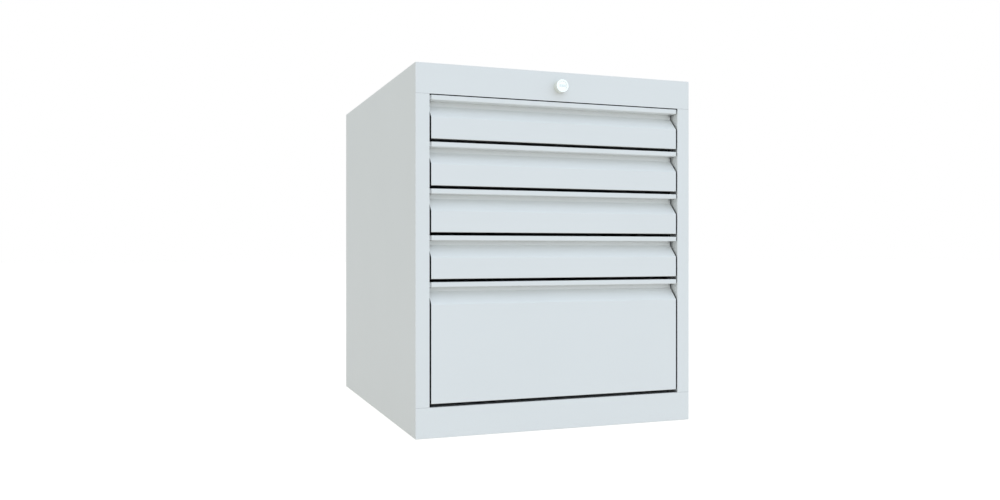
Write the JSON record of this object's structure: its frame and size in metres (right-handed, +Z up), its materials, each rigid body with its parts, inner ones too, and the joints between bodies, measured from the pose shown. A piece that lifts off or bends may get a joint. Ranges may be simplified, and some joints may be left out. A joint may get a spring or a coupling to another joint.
{
  "type": "microscope slide cabinet",
  "caption": "Steel drawer cabinet for microscope slides: shallow lane drawers over a deep one, full width grips, ball bearing runners and a central lock in the top rail.",
  "frame": {"origin": "middle of the casing's footprint, on the floor", "axes": "+X to the right seen from the front, -Y out of the front, +Z up"},
  "size_m": [0.5, 0.612, 0.6],
  "materials": {
    "powder_coat": "fine satin powder coat, light grey",
    "drawer_coat": "fine satin powder coat, light grey",
    "zinc_steel": "zinc plated, satin",
    "lock_metal": "bright nickel plate",
    "rivet_metal": "plain, satin"
  },
  "bodies": {
    "casing": {"left_side_panel": "powder_coat", "right_side_panel": "powder_coat", "top_panel": "powder_coat", "bottom_panel": "powder_coat", "back_panel": "powder_coat", "back_panel_rivets": "rivet_metal", "top_front_rail": "powder_coat", "bottom_front_rail": "powder_coat", "front_left_upright": "zinc_steel", "front_right_upright": "zinc_steel", "rear_left_upright": "zinc_steel", "rear_right_upright": "zinc_steel", "lock_housing": "lock_metal", "lock_nut": "zinc_steel", "shaft_bracket": "zinc_steel", "bar_guides": "zinc_steel", "drawer_1_cabinet_rails": "zinc_steel", "drawer_2_cabinet_rails": "zinc_steel", "drawer_3_cabinet_rails": "zinc_steel", "drawer_4_cabinet_rails": "zinc_steel", "drawer_5_cabinet_rails": "zinc_steel"},
    "drawer_1": {"drawer_1_front": "drawer_coat", "drawer_1_tray": "drawer_coat", "drawer_1_drawer_rails": "zinc_steel", "drawer_1_dividers": "drawer_coat"},
    "drawer_1_middle": {"drawer_1_middle_rails": "zinc_steel"},
    "drawer_1_outer_cages": {"drawer_1_outer_ball_cages": "zinc_steel"},
    "drawer_1_inner_cages": {"drawer_1_inner_ball_cages": "zinc_steel"},
    "drawer_2": {"drawer_2_front": "drawer_coat", "drawer_2_tray": "drawer_coat", "drawer_2_drawer_rails": "zinc_steel", "drawer_2_dividers": "drawer_coat"},
    "drawer_2_middle": {"drawer_2_middle_rails": "zinc_steel"},
    "drawer_2_outer_cages": {"drawer_2_outer_ball_cages": "zinc_steel"},
    "drawer_2_inner_cages": {"drawer_2_inner_ball_cages": "zinc_steel"},
    "drawer_3": {"drawer_3_front": "drawer_coat", "drawer_3_tray": "drawer_coat", "drawer_3_drawer_rails": "zinc_steel", "drawer_3_dividers": "drawer_coat"},
    "drawer_3_middle": {"drawer_3_middle_rails": "zinc_steel"},
    "drawer_3_outer_cages": {"drawer_3_outer_ball_cages": "zinc_steel"},
    "drawer_3_inner_cages": {"drawer_3_inner_ball_cages": "zinc_steel"},
    "drawer_4": {"drawer_4_front": "drawer_coat", "drawer_4_tray": "drawer_coat", "drawer_4_drawer_rails": "zinc_steel", "drawer_4_dividers": "drawer_coat"},
    "drawer_4_middle": {"drawer_4_middle_rails": "zinc_steel"},
    "drawer_4_outer_cages": {"drawer_4_outer_ball_cages": "zinc_steel"},
    "drawer_4_inner_cages": {"drawer_4_inner_ball_cages": "zinc_steel"},
    "drawer_5": {"drawer_5_front": "drawer_coat", "drawer_5_tray": "drawer_coat", "drawer_5_drawer_rails": "zinc_steel"},
    "drawer_5_middle": {"drawer_5_middle_rails": "zinc_steel"},
    "drawer_5_outer_cages": {"drawer_5_outer_ball_cages": "zinc_steel"},
    "drawer_5_inner_cages": {"drawer_5_inner_ball_cages": "zinc_steel"},
    "lock_cylinder": {"lock_plug": "lock_metal", "lock_shaft": "zinc_steel", "lock_crank": "zinc_steel"},
    "lock_bar": {"locking_bar": "zinc_steel", "locking_fingers": "zinc_steel"}
  },
  "joints": [
    {"name": "drawer_1_slide", "type": "slide", "parent": "casing", "child": "drawer_1", "axis": [0, -1, 0], "range_m": [0, 0.48]},
    {"name": "drawer_1_middle_slide", "type": "slide", "parent": "casing", "child": "drawer_1_middle", "axis": [0, -1, 0], "range_m": [0, 0.24]},
    {"name": "drawer_1_outer_cages_slide", "type": "slide", "parent": "casing", "child": "drawer_1_outer_cages", "axis": [0, -1, 0], "range_m": [0, 0.12]},
    {"name": "drawer_1_inner_cages_slide", "type": "slide", "parent": "casing", "child": "drawer_1_inner_cages", "axis": [0, -1, 0], "range_m": [0, 0.36]},
    {"name": "drawer_2_slide", "type": "slide", "parent": "casing", "child": "drawer_2", "axis": [0, -1, 0], "range_m": [0, 0.48]},
    {"name": "drawer_2_middle_slide", "type": "slide", "parent": "casing", "child": "drawer_2_middle", "axis": [0, -1, 0], "range_m": [0, 0.24]},
    {"name": "drawer_2_outer_cages_slide", "type": "slide", "parent": "casing", "child": "drawer_2_outer_cages", "axis": [0, -1, 0], "range_m": [0, 0.12]},
    {"name": "drawer_2_inner_cages_slide", "type": "slide", "parent": "casing", "child": "drawer_2_inner_cages", "axis": [0, -1, 0], "range_m": [0, 0.36]},
    {"name": "drawer_3_slide", "type": "slide", "parent": "casing", "child": "drawer_3", "axis": [0, -1, 0], "range_m": [0, 0.48]},
    {"name": "drawer_3_middle_slide", "type": "slide", "parent": "casing", "child": "drawer_3_middle", "axis": [0, -1, 0], "range_m": [0, 0.24]},
    {"name": "drawer_3_outer_cages_slide", "type": "slide", "parent": "casing", "child": "drawer_3_outer_cages", "axis": [0, -1, 0], "range_m": [0, 0.12]},
    {"name": "drawer_3_inner_cages_slide", "type": "slide", "parent": "casing", "child": "drawer_3_inner_cages", "axis": [0, -1, 0], "range_m": [0, 0.36]},
    {"name": "drawer_4_slide", "type": "slide", "parent": "casing", "child": "drawer_4", "axis": [0, -1, 0], "range_m": [0, 0.48]},
    {"name": "drawer_4_middle_slide", "type": "slide", "parent": "casing", "child": "drawer_4_middle", "axis": [0, -1, 0], "range_m": [0, 0.24]},
    {"name": "drawer_4_outer_cages_slide", "type": "slide", "parent": "casing", "child": "drawer_4_outer_cages", "axis": [0, -1, 0], "range_m": [0, 0.12]},
    {"name": "drawer_4_inner_cages_slide", "type": "slide", "parent": "casing", "child": "drawer_4_inner_cages", "axis": [0, -1, 0], "range_m": [0, 0.36]},
    {"name": "drawer_5_slide", "type": "slide", "parent": "casing", "child": "drawer_5", "axis": [0, -1, 0], "range_m": [0, 0.48]},
    {"name": "drawer_5_middle_slide", "type": "slide", "parent": "casing", "child": "drawer_5_middle", "axis": [0, -1, 0], "range_m": [0, 0.24]},
    {"name": "drawer_5_outer_cages_slide", "type": "slide", "parent": "casing", "child": "drawer_5_outer_cages", "axis": [0, -1, 0], "range_m": [0, 0.12]},
    {"name": "drawer_5_inner_cages_slide", "type": "slide", "parent": "casing", "child": "drawer_5_inner_cages", "axis": [0, -1, 0], "range_m": [0, 0.36]},
    {"name": "locking_bar_lift", "type": "slide", "parent": "casing", "child": "lock_bar", "axis": [0, 0, 1], "range_m": [0, 0.01414]},
    {"name": "lock_turn", "type": "hinge", "parent": "casing", "child": "lock_cylinder", "pos_m": [0, -0.3, 0.5755], "axis": [0, 1, 0], "range_deg": [0, 90]}
  ],
  "couplings": [
    {"joint": "drawer_1_middle_slide", "follows": "drawer_1_slide", "ratio": 0.5},
    {"joint": "drawer_1_outer_cages_slide", "follows": "drawer_1_slide", "ratio": 0.25},
    {"joint": "drawer_1_inner_cages_slide", "follows": "drawer_1_slide", "ratio": 0.75},
    {"joint": "drawer_2_middle_slide", "follows": "drawer_2_slide", "ratio": 0.5},
    {"joint": "drawer_2_outer_cages_slide", "follows": "drawer_2_slide", "ratio": 0.25},
    {"joint": "drawer_2_inner_cages_slide", "follows": "drawer_2_slide", "ratio": 0.75},
    {"joint": "drawer_3_middle_slide", "follows": "drawer_3_slide", "ratio": 0.5},
    {"joint": "drawer_3_outer_cages_slide", "follows": "drawer_3_slide", "ratio": 0.25},
    {"joint": "drawer_3_inner_cages_slide", "follows": "drawer_3_slide", "ratio": 0.75},
    {"joint": "drawer_4_middle_slide", "follows": "drawer_4_slide", "ratio": 0.5},
    {"joint": "drawer_4_outer_cages_slide", "follows": "drawer_4_slide", "ratio": 0.25},
    {"joint": "drawer_4_inner_cages_slide", "follows": "drawer_4_slide", "ratio": 0.75},
    {"joint": "drawer_5_middle_slide", "follows": "drawer_5_slide", "ratio": 0.5},
    {"joint": "drawer_5_outer_cages_slide", "follows": "drawer_5_slide", "ratio": 0.25},
    {"joint": "drawer_5_inner_cages_slide", "follows": "drawer_5_slide", "ratio": 0.75},
    {"joint": "lock_turn", "follows": "locking_bar_lift", "rad_per_m": 111.11}
  ]
}
